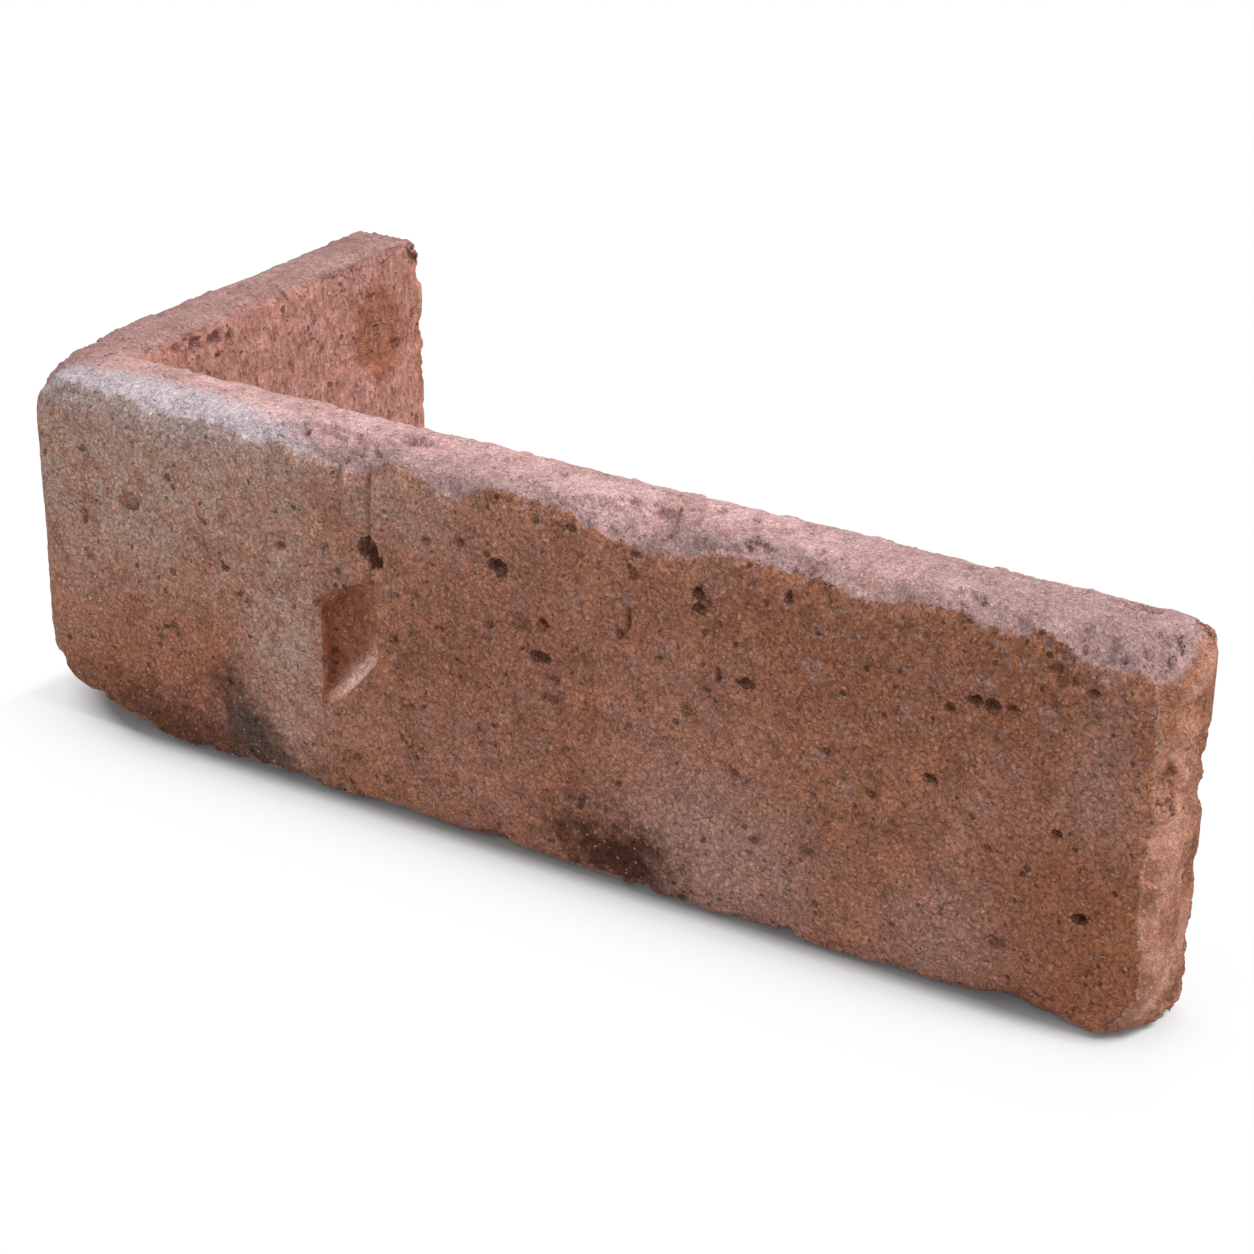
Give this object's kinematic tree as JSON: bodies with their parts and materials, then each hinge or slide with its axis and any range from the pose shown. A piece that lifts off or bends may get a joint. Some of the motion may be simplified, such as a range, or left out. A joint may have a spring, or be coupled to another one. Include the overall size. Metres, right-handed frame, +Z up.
{
  "type": "corner brick slip",
  "caption": "L-shaped fired-clay slip with a long stretcher leg and a short header leg, bonded round the outside corner of a wall to look like solid brickwork.",
  "frame": {"origin": "middle of the footprint's bounding rectangle, on the plane of the lower bed that the slip stands on", "axes": "+X runs along the stretcher (long) leg towards its free end, +Y runs along the header (short) leg towards its free end and into the wall, +Z is up from the lower bed to the upper bed; the stretcher face looks towards -Y and the header face towards -X"},
  "size_m": [0.215, 0.1025, 0.065],
  "materials": {
    "fired_clay": "rough matt, sand-textured, unglazed"
  },
  "bodies": {
    "root": {"corner_slip": "fired_clay"}
  },
  "joints": []
}
